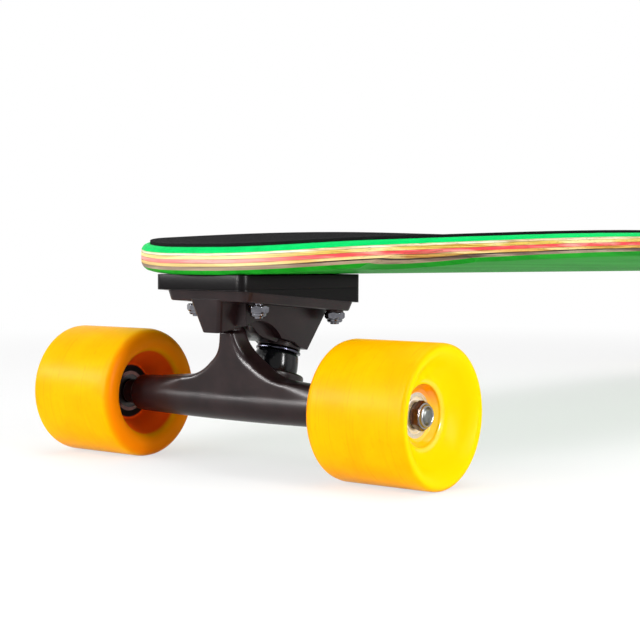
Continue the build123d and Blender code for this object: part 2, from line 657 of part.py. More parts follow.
def wheel():
    """A soft wheel: rounded lips, dished outer face, conical inner recess and two bearing seats."""
    inner = WHEEL_INNER_Y
    outer = WHEEL_OUTER_Y
    mouth_y = outer - DISH_MOUTH_DEPTH
    seats = (BEARING_START_Y, BEARING_START_Y + BEARING_WIDTH, BEARING_END_Y - BEARING_WIDTH, BEARING_END_Y)
    path = Polyline(
        (DISH_MOUTH_RADIUS, mouth_y),
        (BEARING_RADIUS, seats[3]),
        (BEARING_RADIUS, seats[2]),
        (HUB_SHOULDER_RADIUS, seats[2]),
        (HUB_SHOULDER_RADIUS, seats[1]),
        (BEARING_RADIUS, seats[1]),
        (BEARING_RADIUS, seats[0]),
        (RECESS_FLOOR_RADIUS, seats[0]),
        (RECESS_MOUTH_RADIUS, inner + RECESS_MOUTH_DEPTH),
        (RECESS_MOUTH_RADIUS + RECESS_MOUTH_DEPTH / 2, inner),
        (WHEEL_RADIUS, inner),
        (WHEEL_RADIUS, outer),
        (DISH_RIM_RADIUS, outer),
    )
    dish = ThreePointArc(
        (DISH_RIM_RADIUS, outer),
        (DISH_MIDDLE[0], outer - DISH_MIDDLE[1]),
        (DISH_MOUTH_RADIUS, mouth_y),
    )
    face = make_face([*path.edges(), dish])
    face = rounded_corner(face, WHEEL_RADIUS, inner, INNER_LIP_ROUND)
    face = rounded_corner(face, WHEEL_RADIUS, outer, OUTER_LIP_ROUND)
    face = rounded_corner(face, DISH_RIM_RADIUS, outer, DISH_RIM_ROUND)
    face = rounded_corner(face, DISH_MOUTH_RADIUS, mouth_y, DISH_MOUTH_ROUND)
    return revolve(face, axis=Axis.Y)


def grooved_ring(bore, radius, centre):
    """A bearing ring with a ball groove; the groove falls on whichever wall faces the balls."""
    ring = tube(radius, bore, centre - BEARING_WIDTH / 2, centre + BEARING_WIDTH / 2)
    groove = Pos(0, centre, 0) * Torus(BALL_PITCH_RADIUS, GROOVE_RADIUS, rotation=(90, 0, 0))
    return ring - groove


def bearing_shields():
    shields = []
    for centre in BEARING_CENTRES:
        for side in (-1, 1):
            outside = centre + side * (BEARING_WIDTH / 2 - SHIELD_INSET)
            low, high = sorted((outside, outside - side * SHIELD_THICKNESS))
            shields.append(tube(OUTER_RING_BORE, SHIELD_BORE_RADIUS, low, high))
    return shields


def bearing_balls():
    ball = Pos(BALL_PITCH_RADIUS, 0, 0) * Sphere(BALL_RADIUS)
    step = 360 / BALLS_PER_BEARING
    return [
        Pos(0, centre, 0) * Rot(0, number * step, 0) * ball
        for centre in BEARING_CENTRES
        for number in range(BALLS_PER_BEARING)
    ]


def wheel_set():
    """Everything that turns on one end of an axle, for the +Y end."""
    return {
        "wheel": [wheel()],
        "bearing_outer_rings": [grooved_ring(OUTER_RING_BORE, BEARING_RADIUS, y) for y in BEARING_CENTRES],
        "bearing_shields": bearing_shields(),
        "bearing_balls": bearing_balls(),
    }


def truck():
    """Every piece of one truck except its wheels, nose towards -X, axle centre at the origin."""
    inner_rings = [grooved_ring(AXLE_RADIUS + RING_FIT, INNER_RING_RADIUS, y) for y in BEARING_CENTRES]
    spacer_start = BEARING_START_Y + BEARING_WIDTH
    spacer = tube(SPACER_RADIUS, AXLE_RADIUS + RING_FIT, spacer_start, spacer_start + SPACER_LENGTH)
    washers = [speed_washer(BARREL_HALF_LENGTH), speed_washer(BEARING_END_Y)]
    return {
        "riser_pad": [riser_pad()],
        "wedge_shim": [wedge_shim()],
        "baseplate": [baseplate()],
        "pivot_cup": [pivot_cup()],
        "mounting_bolts": mounting_bolts(),
        "mounting_nuts": mounting_nuts(),
        "kingpin": [kingpin()],
        **{name: [piece] for name, piece in kingpin_stack().items()},
        "hanger": [hanger()],
        "axle": [axle()],
        "axle_nuts": both_sides(axle_nut()),
        "speed_washers": [copy for washer in washers for copy in both_sides(washer)],
        "bearing_inner_rings": [copy for ring in inner_rings for copy in both_sides(ring)],
        "bearing_spacers": both_sides(spacer),
    }


def write(node, pieces):
    shape = pieces[0] if len(pieces) == 1 else Compound(children=pieces)
    export_step(shape, f"parts/{node}.step")


def main():
    os.makedirs("parts", exist_ok=True)
    for node, piece in deck().items():
        write(node, [piece])
    truck_pieces = truck()
    wheel_pieces = wheel_set()
    for end, end_name in ((-1, "front"), (1, "rear")):
        turn = Rot(0, 0, 0) if end < 0 else Rot(0, 0, 180)
        place = Pos(end * HALF_BASE, 0, AXLE_Z)
        for name, pieces in truck_pieces.items():
            write(f"{end_name}_{name}", [place * turn * piece for piece in pieces])
        for side, side_name in ((-1, "left"), (1, "right")):
            face = Rot(0, 0, 0) if side > 0 else Rot(0, 0, 180)
            for name, pieces in wheel_pieces.items():
                write(f"{end_name}_{side_name}_{name}", [place * face * piece for piece in pieces])


main()
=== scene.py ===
import json
from collections import namedtuple
from math import cos, hypot, pi, radians, sin

import bmesh
import bpy
from mathutils import Matrix, Vector

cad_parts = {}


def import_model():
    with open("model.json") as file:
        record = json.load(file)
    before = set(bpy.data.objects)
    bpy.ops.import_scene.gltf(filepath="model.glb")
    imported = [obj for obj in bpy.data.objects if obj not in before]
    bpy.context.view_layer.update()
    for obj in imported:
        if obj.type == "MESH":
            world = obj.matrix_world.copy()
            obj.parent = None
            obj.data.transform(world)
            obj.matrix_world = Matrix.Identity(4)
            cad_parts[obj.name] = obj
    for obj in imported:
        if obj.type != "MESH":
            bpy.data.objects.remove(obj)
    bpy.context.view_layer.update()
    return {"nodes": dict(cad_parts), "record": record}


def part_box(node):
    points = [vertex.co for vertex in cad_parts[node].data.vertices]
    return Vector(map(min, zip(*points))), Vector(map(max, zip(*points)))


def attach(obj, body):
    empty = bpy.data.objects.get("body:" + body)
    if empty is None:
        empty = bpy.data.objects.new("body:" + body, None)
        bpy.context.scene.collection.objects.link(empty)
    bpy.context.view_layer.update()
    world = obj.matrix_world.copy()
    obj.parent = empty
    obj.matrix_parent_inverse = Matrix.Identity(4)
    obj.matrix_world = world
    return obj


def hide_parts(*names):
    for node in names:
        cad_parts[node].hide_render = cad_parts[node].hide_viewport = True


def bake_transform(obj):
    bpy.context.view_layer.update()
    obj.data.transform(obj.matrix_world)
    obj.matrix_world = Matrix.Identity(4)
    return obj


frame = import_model()
NODES = frame["nodes"]
ENDS = ("front", "rear")
SIDES = ("left", "right")

# Camera: the photograph's place, in metres and degrees
CAMERA_PLACE = Vector((-0.9901, -0.4903, 0.1101))
CAMERA_HEADING = 37.72
CAMERA_DIP = 2.52
CAMERA_ROLL = -0.35
CAMERA_FOCAL_PIXELS = 1452.3
PHOTO_PIXELS = 640
SENSOR_MM = 36.0
CAMERA_NEAR = 0.01
CAMERA_FAR = 100.0

# Light: each lamp's name, place from the front truck, width, height and watts,
# and whether it lights everything or only glints on glossy surfaces
WORLD_LIGHT = 0.42
TRUCK_PLACE = Vector((-0.42, 0.0, 0.06))
LAMPS = (
    ("side_strip", Vector((-0.17, -1.22, 0.60)), 0.22, 0.8, 7.0, True),
    ("overhead_box", Vector((0.15, -0.10, 1.55)), 1.2, 1.2, 12.0, True),
    ("face_fill", Vector((0.75, -1.25, 0.25)), 0.8, 0.8, 2.0, True),
    ("nose_fill", Vector((-1.25, 0.45, 0.50)), 0.9, 0.9, 10.0, True),
    ("nose_glint", Vector((-1.20, 0.12, 0.50)), 0.22, 1.1, 56.0, False),
    ("side_glint", Vector((-0.17, -1.35, 0.30)), 0.12, 0.7, 26.0, False),
    ("far_glint", Vector((-0.95, 0.85, 0.42)), 0.9, 0.22, 34.0, False),
)

# Floor: its half width, and how much of it glows white near the board and further away
FLOOR_HALF = 30.0
FLOOR_TONE = 0.93
GLOW_NEAR = 0.65
GLOW_FAR = 1.0
GLOW_REACH = (0.45, 1.3)

# Places of the running gear, from the frame
AXLE_LOW, AXLE_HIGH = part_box("front_axle")
AXLE_X = -(AXLE_LOW.x + AXLE_HIGH.x) / 2
AXLE_Z = (AXLE_LOW.z + AXLE_HIGH.z) / 2
WHEEL_INNER_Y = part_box("front_right_wheel")[0].y
WHEEL_OUTER_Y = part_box("front_right_wheel")[1].y
WHEEL_MIDDLE_Y = (WHEEL_INNER_Y + WHEEL_OUTER_Y) / 2
DECK_TIP_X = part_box("red_ply")[1].x
AXLE_NUT_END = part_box("front_axle_nuts")[1].y

# Deck section: flat middle strip, curved rails, where one ply meets the next, and the pale tips
DECK_UNDERSIDE_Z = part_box("bottom_face_ply")[0].z
DECK_FLAT_HALF_WIDTH = 0.009
DECK_RAIL_RADIUS = 0.471
DARK_LINE = 0.0039
DARK_LINE_FADE = (0.00042, 0.00022)
GLUE_LINES = (0.0056, 0.0075, 0.0094, 0.0106)
GLUE_LINE_FADE = (0.00022, 0.00008)
PALE_TIP = (0.034, 0.006)

# Edges broken on cast, moulded and forged pieces, and how far the bolt heads rise to the deck's curved top
BASEPLATE_EDGE = 0.0009
RISER_EDGE = 0.0005
BOLT_EDGE = 0.0002
BOLT_HEAD_RAISE = 0.00032
EDGE_STEPS = 3
EDGE_OVER = radians(35.0)
SHARP_OVER = radians(32.0)
FLAT_WITHIN = radians(1.0)
SAME_PLACE = 1e-6
SAME_HEIGHT = 1e-5

# Kingpin stack: each bushing's lower radius, upper radius and height, and the washer's radius and thickness
KINGPIN_TILT = radians(16.0)
KINGPIN_BORE = 0.0048
BOARD_BUSHING = (0.0119, 0.0112, 0.0130)
ROAD_BUSHING = (0.0080, 0.0096, 0.0095)
BUSHING_ROWS = 14
BUSHING_BULGE = 0.0005
BUSHING_ROUNDING = 0.0011
BUSHING_SHARP_OVER = 70.0
BOARD_WASHER = (0.0120, 0.0023)
WASHER_SHOULDER = (0.0012, 0.0026)
WASHER_EDGE = 0.0005

# Lock nuts, with the small edges of all of them and the lead-in of their threads
Nut = namedtuple("Nut", "flats bore collar_radius chamfer")
MOUNTING_NUT = Nut(0.0095, 0.0024, 0.0042, 0.0009)
MOUNTING_COLLAR_SHARE = 0.33
AXLE_NUT = Nut(0.0127, 0.0040, 0.0055, 0.0010)
AXLE_COLLAR = 0.0016
AXLE_COLLAR_FADE = 0.0002
KINGPIN_NUT = Nut(0.0143, KINGPIN_BORE, 0.0062, 0.0010)
KINGPIN_NUT_HEIGHT = 0.0074
KINGPIN_COLLAR = 0.0018
NUT_EDGE = 0.00025
THREAD_LEAD = 0.0004

# Bearing shields
SHIELD_BORE = 0.0065
SHIELD_EDGE = 0.0001
SHIELD_SEGMENTS = 72

# Hanger: barrel, web with its two hollow flares, and the small boss at each end of the barrel.
# A pair of lift values is where the flares' lift starts and where it is full.
CAST_CELL = 0.0006
CAST_EASING = 12
BARREL_RADIUS = 0.0109
BARREL_TAPER = 0.0016
BARREL_HALF_LENGTH = 0.0825
FLARE_RADIUS = 0.030
FLARE_PLACE = Vector((0.0346, 0.0404))
BLEND_END = 0.074
WEB_RIM = 0.0034
WEB_SET_BACK = 0.0010
WEB_LEAN = 0.140
WEB_TOP = 0.034
WEB_TOP_FADE = 0.7
WEB_FACING = (0.05, 0.35)
WEB_LIFT = 0.0022
LIFT_ABOVE_AXLE = (0.002, 0.008)
LIFT_FORWARD = (-0.006, -0.001)
LIFT_FROM_NECK = (0.006, 0.014)
LIFT_TO_BARREL = (0.060, 0.026)
BOSS_START = 0.0735
BOSS_FULL = 0.0750
BOSS_RADIUS = 0.0066

# Wheel: radius and depth from the face, along the outer dish, the bearing seats and the inner recess
OUTER_LIP = 0.0034
OUTER_FACE = (
    (0.03475, 0.0017),
    (0.0341, 0.0007),
    (0.0330, 0.0001),
    (0.0316, 0.0001),
    (0.0298, 0.0009),
    (0.0270, 0.0034),
    (0.0238, 0.0069),
    (0.0200, 0.0099),
    (0.0176, 0.0112),
    (0.0160, 0.0118),
    (0.0152, 0.0124),
    (0.0147, 0.0136),
    (0.0128, 0.0158),
)
BEARING_SEATS = (
    (0.0110, 0.0420),
    (0.0110, 0.0350),
    (0.0093, 0.0350),
    (0.0093, 0.0250),
    (0.0110, 0.0250),
    (0.0110, 0.0180),
)
INNER_LIP = 0.0060
INNER_FACE = (
    (0.0155, 0.0180),
    (0.0185, 0.0120),
    (0.0212, 0.0075),
    (0.0226, 0.0046),
    (0.0240, 0.0022),
    (0.0262, 0.0006),
    (0.0290, 0.0),
    (0.0320, 0.0008),
    (0.0342, 0.0030),
)
WHEEL_SEGMENTS = 160

# Wheel's colours: the radius, the depth from a face or the height over the axle where each starts and is full
TREAD_RADIUS = (0.0325, 0.0345)
# Painted light: the outer dish is painted a lighter yellow than the tread
PAINTED_LIGHT_DISH_DEPTH = (0.020, 0.010)
WELL_RADIUS = (0.0154, 0.0149)
WELL_DEPTH = (0.018, 0.016)
# Painted shade: the bore's well is painted orange above the axle and yellow below it
WELL_PAINTED_SHADE_HEIGHT = (0.0, 0.012)
BORE_LIP_RADIUS = (0.0178, 0.0162)
# Painted shade: the inner face of the wheel is painted orange
PAINTED_SHADE_INNER_FACE_DEPTH = (0.0050, 0.0004)
# Painted shade: the inner recess is painted deep orange
PAINTED_SHADE_RECESS_RADIUS = (0.0236, 0.0222)
RECESS_DEPTH = (0.0190, 0.0182)
# Near black on the recess floor round the bearing
DARK_RECESS_FLOOR_RADIUS = (0.0150, 0.0140)
BEARING_SIDE_FADE = 0.002


# Shader maths


class Wire:
    """An output socket, for maths written as expressions."""

    def __init__(self, paint, socket):
        self.paint = paint
        self.socket = socket

    def _math(self, operation, *values):
        return self.paint.node("ShaderNodeMath", {"operation": operation}, dict(enumerate(values)))

    def __add__(self, other):
        return self._math("ADD", self, other)

    __radd__ = __add__

    def __sub__(self, other):
        return self._math("SUBTRACT", self, other)

    def __rsub__(self, other):
        return self._math("SUBTRACT", other, self)

    def __mul__(self, other):
        return self._math("MULTIPLY", self, other)

    __rmul__ = __mul__

    def __pow__(self, other):
        return self._math("POWER", self, other)

    def __abs__(self):
        return self._math("ABSOLUTE", self)

    def at_least(self, other):
        return self._math("MAXIMUM", self, other)

    def at_most(self, other):
        return self._math("MINIMUM", self, other)

    def ramp(self, low, high, start=0.0, end=1.0):
        """A smooth step from start to end as the value goes from low to high."""
        settings = {"interpolation_type": "SMOOTHSTEP"}
        sockets = {"Value": self, "From Min": low, "From Max": high, "To Min": start, "To Max": end}
        return self.paint.node("ShaderNodeMapRange", settings, sockets)


class Paint:
    """The node tree of a material or of the world."""

    def __init__(self, owner):
        owner.use_nodes = True
        self.owner = owner
        self.tree = owner.node_tree

    def node(self, kind, settings=None, sockets=None, out=0):
        """Adds a node, its settings first and then its sockets, and returns one of its outputs."""
        made = self.tree.nodes.new(kind)
        for key, value in (settings or {}).items():
            setattr(made, key, value)
        for key, value in (sockets or {}).items():
            self.join(made.inputs[key], value)
        return Wire(self, made.outputs[out])

    def join(self, socket, value):
        """Links a wire to a socket, or sets the socket to a plain value."""
        if isinstance(value, Wire):
            self.tree.links.new(value.socket, socket)
        else:
            socket.default_value = value

    def place(self):
        """Object coordinates in metres: the piece's own place in the board's frame at rest."""
        return self.node("ShaderNodeTexCoord", out="Object")

    def axes(self, vector):
        """The three parts of a vector."""
        return [self.node("ShaderNodeSeparateXYZ", None, {0: vector}, axis) for axis in range(3)]

    def stretch(self, vector, x, y, z):
        """A vector scaled along each axis, for grain that runs one way."""
        return self.node("ShaderNodeVectorMath", {"operation": "MULTIPLY"}, {0: vector, 1: (x, y, z)})

    def noise(self, vector, scale, detail, roughness):
        """Cloudy noise, from 0 to 1 round a middle of about a half."""
        sockets = {"Vector": vector, "Scale": scale, "Detail": detail, "Roughness": roughness}
        return self.node("ShaderNodeTexNoise", None, sockets)

    def mix(self, amount, first, second):
        """A colour between two colours."""
        return self.node("ShaderNodeMix", {"data_type": "RGBA"}, {0: amount, 6: first, 7: second}, out=2)

    def bump(self, height, distance, strength):
        """A normal tilted by a height, with the height's full reach in metres."""
        sockets = {"Height": height, "Distance": distance, "Strength": strength}
        return self.node("ShaderNodeBump", None, sockets)

    def straight_ray(self):
        """1 for what the camera sees, straight, in a mirror or through glass, and 0 for light that lights."""
        camera = self.node("ShaderNodeLightPath", out="Is Camera Ray")
        glossy = self.node("ShaderNodeLightPath", out="Is Glossy Ray")
        clear = self.node("ShaderNodeLightPath", out="Is Transmission Ray")
        return (camera + glossy + clear).at_most(1.0)

    def surface(self, **values):
        """Sets the shader's sockets, named with underscores for spaces."""
        shader = self.tree.nodes["Principled BSDF"]
        for key, value in values.items():
            self.join(shader.inputs[key.replace("_", " ")], value)
        return self.owner


def material_paint(name):
    """A new material to paint on a piece."""
    return Paint(bpy.data.materials.new(name))


def rgb(red, green, blue):
    """A colour written as it looks on screen, from 0 to 255, as the shader's linear colour."""
    parts = []
    for value in (red, green, blue):
        value = value / 255
        parts.append(value / 12.92 if value <= 0.04045 else ((value + 0.055) / 1.055) ** 2.4)
    return (*parts, 1.0)


# Finishes


def height_in_deck(paint, place):
    """How far a point is above the deck's underside, with the curve of the rails taken out."""
    x, y, z = paint.axes(place)
    reach = (abs(y) - DECK_FLAT_HALF_WIDTH).at_least(0.0)
    rise = DECK_RAIL_RADIUS - (DECK_RAIL_RADIUS**2 - reach**2) ** 0.5
    return z - DECK_UNDERSIDE_Z - rise


def ply_edge(name, colour, dark, pale):
    """Sanded and lacquered veneer edge: streaks, darker flecks, glue lines, pale end grain at the tips."""
    paint = material_paint(name)
    place = paint.place()
    height = height_in_deck(paint, place)
    streaks = paint.noise(paint.stretch(place, 30, 30, 1700), 1.0, 4.0, 0.6)
    flecks = paint.noise(paint.stretch(place, 230, 230, 3600), 1.0, 3.0, 0.6)
    tone = paint.noise(paint.stretch(place, 24, 24, 300), 1.0, 3.0, 0.5)
    tip = (DECK_TIP_X - abs(paint.axes(place)[0])).ramp(*PALE_TIP)
    shade = paint.mix(streaks.ramp(0.44, 0.64), colour, dark)
    shade = paint.mix(tone.ramp(0.44, 0.62) * 0.85, shade, pale)
    shade = paint.mix(flecks.ramp(0.57, 0.68) * 0.6, shade, rgb(118, 84, 52))
    shade = paint.mix(tip * (0.25 + 0.6 * tone), shade, pale)
    for line in GLUE_LINES:
        glue = abs(height - line).ramp(*GLUE_LINE_FADE) * (0.25 + 0.75 * streaks.ramp(0.35, 0.55))
        shade = paint.mix(glue * 0.6, shade, rgb(96, 62, 40))
    soot = abs(height - DARK_LINE).ramp(*DARK_LINE_FADE)
    soot = soot * (0.45 + 0.55 * tone.ramp(0.30, 0.50)) * (1 - 0.6 * tip)
    shade = paint.mix(soot, shade, rgb(34, 26, 24))
    return paint.surface(
        Base_Color=shade,
        Roughness=0.42 + 0.22 * flecks,
        Normal=paint.bump(streaks * 0.6 + flecks * 0.4, 0.0002, 0.3),
        Specular_IOR_Level=0.06,
    )


def face_veneer(name, colour, dark, pale):
    """Stained face veneer under satin lacquer, with grain along the board."""
    paint = material_paint(name)
    place = paint.place()
    grain = paint.noise(paint.stretch(place, 5, 130, 60), 1.0, 6.0, 0.65)
    pores = paint.noise(paint.stretch(place, 70, 1500, 500), 1.0, 2.0, 0.5)
    shade = paint.mix(grain.ramp(0.38, 0.70), colour, dark)
    shade = paint.mix(pores.ramp(0.62, 0.78) * 0.25, shade, pale)
    return paint.surface(
        Base_Color=shade,
        Roughness=0.40 + 0.16 * grain,
        Normal=paint.bump(grain * 0.6 + pores * 0.4, 0.0002, 0.22),
        Specular_IOR_Level=0.03,
    )


def grit_sheet():
    """Black abrasive sheet: fine crystals that catch the light."""
    paint = material_paint("grit_sheet")
    place = paint.place()
    grains = paint.node("ShaderNodeTexVoronoi", None, {"Vector": place, "Scale": 1900.0})
    patches = paint.noise(place, 40.0, 4.0, 0.6)
    shade = paint.mix(grains.ramp(0.1, 0.7), rgb(34, 34, 35), rgb(12, 12, 13))
    shade = paint.mix(patches * 0.25, shade, rgb(40, 40, 42))
    return paint.surface(
        Base_Color=shade,
        Roughness=0.8 + 0.15 * patches,
        Normal=paint.bump(1 - grains, 0.0004, 0.7),
        Specular_IOR_Level=0.03,
    )


def riser_plastic():
    """Black moulded plastic with a fine matt texture and faint flow lines."""
    paint = material_paint("riser_plastic")
    place = paint.place()
    texture = paint.noise(place, 900.0, 3.0, 0.6)
    flow = paint.noise(paint.stretch(place, 30, 30, 220), 1.0, 3.0, 0.5)
    shade = paint.mix(flow, rgb(8, 6, 7), rgb(17, 14, 15))
    return paint.surface(
        Base_Color=shade,
        Roughness=0.26 + 0.12 * texture,
        Normal=paint.bump(texture, 0.0001, 0.2),
        Specular_IOR_Level=0.065,
    )


def coated_casting():
    """Satin black coat on a casting, a little brown where it is thin."""
    paint = material_paint("coated_casting")
    place = paint.place()
    cloud = paint.noise(place, 55.0, 4.0, 0.55)
    peel = paint.noise(place, 800.0, 3.0, 0.5)
    shade = paint.mix(cloud.ramp(0.3, 0.7), rgb(28, 15, 17), rgb(42, 27, 28))
    return paint.surface(
        Base_Color=shade,
        Roughness=0.26 + 0.10 * cloud,
        Normal=paint.bump(peel, 0.0001, 0.15),
        Specular_IOR_Level=0.20,
    )


def urethane():
    """Cast yellow urethane, scuffed on the tread and glossy on the bore's lip; painted light makes the outer
    dish a lighter yellow, painted shade makes the inner face orange, the inner recess deep orange and the
    bore's well orange above the axle, and the recess floor round the bearing is near black.
    """
    paint = material_paint("urethane")
    place = paint.place()
    x, y, z = paint.axes(place)
    radius = ((abs(x) - AXLE_X) ** 2 + (z - AXLE_Z) ** 2) ** 0.5
    from_outer_face = WHEEL_OUTER_Y - abs(y)
    from_inner_face = abs(y) - WHEEL_INNER_Y
    cloud = paint.noise(place, 50.0, 4.0, 0.6)
    rings = paint.noise(paint.stretch(place, 28, 900, 28), 1.0, 4.0, 0.6)
    marks = paint.noise(paint.stretch(place, 160, 320, 160), 1.0, 5.0, 0.7)
    scuffed = (rings.ramp(0.52, 0.74) * 0.45 + marks.ramp(0.56, 0.72) * 0.4).at_most(1.0)
    tread = radius.ramp(*TREAD_RADIUS)
    dish = from_outer_face.ramp(*PAINTED_LIGHT_DISH_DEPTH) * (1 - tread)
    well_depth = from_outer_face.ramp(*WELL_DEPTH)
    well = radius.ramp(*WELL_RADIUS) * well_depth
    bore_lip = radius.ramp(*BORE_LIP_RADIUS) * well_depth
    painted_shade_inner_face = from_inner_face.ramp(*PAINTED_SHADE_INNER_FACE_DEPTH)
    recess_depth = from_inner_face.ramp(*RECESS_DEPTH)
    recess = radius.ramp(*PAINTED_SHADE_RECESS_RADIUS) * recess_depth
    dark_recess_floor = radius.ramp(*DARK_RECESS_FLOOR_RADIUS) * recess_depth
    # Painted shade: the bore's well is painted orange above the axle and yellow below it
    well_painted_shade = paint.mix((z - AXLE_Z).ramp(*WELL_PAINTED_SHADE_HEIGHT), rgb(255, 206, 0), rgb(248, 140, 0))
    shade = paint.mix(cloud.ramp(0.3, 0.75), rgb(255, 190, 0), rgb(255, 177, 0))
    shade = paint.mix(scuffed * tread * 0.8, shade, rgb(246, 152, 0))
    # Painted light: the outer dish is painted a lighter yellow than the tread
    shade = paint.mix(dish, shade, rgb(255, 216, 0))
    shade = paint.mix(well, shade, well_painted_shade)
    # Painted shade: the inner face of the wheel is painted orange
    shade = paint.mix(painted_shade_inner_face, shade, rgb(255, 138, 0))
    # Painted shade: the inner recess is painted deep orange
    shade = paint.mix(recess, shade, rgb(255, 92, 16))
    # Near black on the recess floor round the bearing
    shade = paint.mix(dark_recess_floor, shade, rgb(24, 20, 20))
    return paint.surface(
        Base_Color=shade,
        Roughness=0.34 + 0.2 * scuffed,
        Normal=paint.bump(rings * 0.5 + marks * 0.5, 0.0002, 0.10),
        Coat_Weight=bore_lip,
        Specular_IOR_Level=0.02,
    )


def plated_steel(name, colour, tint, roughness):
    """Plated or turned steel with fine tool marks and uneven tone."""
    paint = material_paint(name)
    place = paint.place()
    cloud = paint.noise(place, 240.0, 3.0, 0.6)
    marks = paint.noise(place, 2600.0, 2.0, 0.6)
    shade = paint.mix(cloud.ramp(0.3, 0.7), colour, tint)
    return paint.surface(
        Base_Color=shade,
        Metallic=1.0,
        Roughness=roughness + 0.12 * marks,
        Normal=paint.bump(marks, 0.00003, 0.03),
    )


def axle_nut_steel():
    """Dark bronze lock nut with a bright rolled collar."""
    paint = material_paint("axle_nut_steel")
    place = paint.place()
    out = abs(paint.axes(place)[1])
    cloud = paint.noise(place, 240.0, 3.0, 0.6)
    marks = paint.noise(place, 2600.0, 2.0, 0.6)
    bronze = paint.mix(cloud.ramp(0.3, 0.7), rgb(96, 68, 58), rgb(54, 38, 34))
    collar = out.ramp(AXLE_NUT_END - AXLE_COLLAR - AXLE_COLLAR_FADE, AXLE_NUT_END - AXLE_COLLAR)
    return paint.surface(
        Base_Color=paint.mix(collar, bronze, rgb(140, 136, 134)),
        Metallic=1.0,
        Roughness=0.16 + 0.10 * marks,
        Normal=paint.bump(marks, 0.00003, 0.03),
    )


def outer_side(paint, place):
    """1 on the outer half of a wheel and 0 on its inner half."""
    across = abs(paint.axes(place)[1])
    return across.ramp(WHEEL_MIDDLE_Y - BEARING_SIDE_FADE, WHEEL_MIDDLE_Y + BEARING_SIDE_FADE)


def bearing_shield():
    """Pressed shield: pale steel on the outer side, black seal on the inner side of the wheel."""
    paint = material_paint("bearing_shield")
    place = paint.place()
    outer = outer_side(paint, place)
    brushed = paint.noise(place, 900.0, 3.0, 0.6)
    pale = paint.mix(brushed, rgb(246, 238, 222), rgb(222, 212, 192))
    shade = paint.mix(outer, rgb(26, 22, 22), pale)
    return paint.surface(
        Base_Color=shade,
        Metallic=outer * 0.85,
        Roughness=0.28 + 0.15 * brushed,
        Normal=paint.bump(brushed, 0.00005, 0.2),
    )


def bearing_steel():
    """Bearing rings: pale steel on the outer side of the wheel, and dark bronze on the inner side as painted
    shade.
    """
    paint = material_paint("bearing_steel")
    place = paint.place()
    cloud = paint.noise(place, 240.0, 3.0, 0.6)
    marks = paint.noise(place, 2600.0, 2.0, 0.6)
    pale = paint.mix(cloud, rgb(226, 218, 202), rgb(196, 186, 168))
    bronze = paint.mix(cloud, rgb(104, 74, 70), rgb(70, 48, 46))
    # Painted shade: the rings on the inner side of the wheel are painted dark bronze
    shade = paint.mix(outer_side(paint, place), bronze, pale)
    return paint.surface(
        Base_Color=shade,
        Metallic=0.9,
        Roughness=0.18 + 0.12 * marks,
        Normal=paint.bump(marks, 0.00003, 0.08),
    )


def gloss_rubber(name, colour, sheen_colour, roughness):
    """Glossy moulded urethane or plastic with slight clouding."""
    paint = material_paint(name)
    place = paint.place()
    cloud = paint.noise(place, 180.0, 3.0, 0.6)
    shade = paint.mix(cloud, colour, sheen_colour)
    return paint.surface(
        Base_Color=shade,
        Roughness=roughness + 0.10 * cloud,
        Normal=paint.bump(cloud, 0.0002, 0.15),
        Specular_IOR_Level=0.16,
    )


FINISHES = {
    "bottom_face_ply": face_veneer("bottom_face_ply", rgb(30, 166, 40), rgb(20, 142, 30), rgb(80, 190, 80)),
    "dark_ply": ply_edge("dark_ply", rgb(132, 110, 98), rgb(82, 66, 58), rgb(182, 162, 140)),
    "tan_ply": ply_edge("tan_ply", rgb(232, 186, 96), rgb(184, 124, 44), rgb(248, 224, 160)),
    "red_ply": ply_edge("red_ply", rgb(250, 70, 84), rgb(222, 84, 72), rgb(255, 172, 164)),
    "yellow_ply": ply_edge("yellow_ply", rgb(228, 198, 96), rgb(188, 140, 44), rgb(248, 236, 170)),
    "cream_ply": ply_edge("cream_ply", rgb(236, 214, 172), rgb(190, 156, 110), rgb(252, 244, 222)),
    "top_face_ply": face_veneer("top_face_ply", rgb(0, 212, 104), rgb(0, 198, 94), rgb(40, 224, 132)),
    "grip_tape": grit_sheet(),
    "riser_plastic": riser_plastic(),
    "truck_casting": coated_casting(),
    "pivot_cup": gloss_rubber("pivot_cup", rgb(30, 30, 32), rgb(44, 44, 46), 0.3),
    "bushing": gloss_rubber("bushing", rgb(10, 10, 13), rgb(18, 18, 22), 0.10),
    "bolt_steel": plated_steel("bolt_steel", rgb(118, 118, 124), rgb(94, 94, 100), 0.10),
    "kingpin_steel": plated_steel("kingpin_steel", rgb(150, 146, 142), rgb(116, 112, 110), 0.25),
    "washer_steel": plated_steel("washer_steel", rgb(70, 70, 80), rgb(44, 44, 54), 0.16),
    "axle_steel": plated_steel("axle_steel", rgb(120, 122, 120), rgb(84, 88, 86), 0.24),
    "axle_nut_steel": axle_nut_steel(),
    "bearing_steel": bearing_steel(),
    "bearing_shield": bearing_shield(),
    "wheel_urethane": urethane(),
}


def dress(node, slot):
    """Puts a finish on a CAD node."""
    mesh = NODES[node].data
    mesh.materials.clear()
    mesh.materials.append(FINISHES[slot])


for part in frame["record"]["subparts"]:
    dress(part["node"], part["material_slot"])


# Pieces


def add_piece(name, mesh, body, slot, *nodes):
    """Puts a finished mesh in the scene on its body, in place of the CAD nodes it stands for."""
    piece = bpy.data.objects.new(name, mesh)
    bpy.context.scene.collection.objects.link(piece)
    mesh.materials.clear()
    mesh.materials.append(FINISHES[slot])
    if body:
        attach(piece, body)
    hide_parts(*nodes)
    return piece


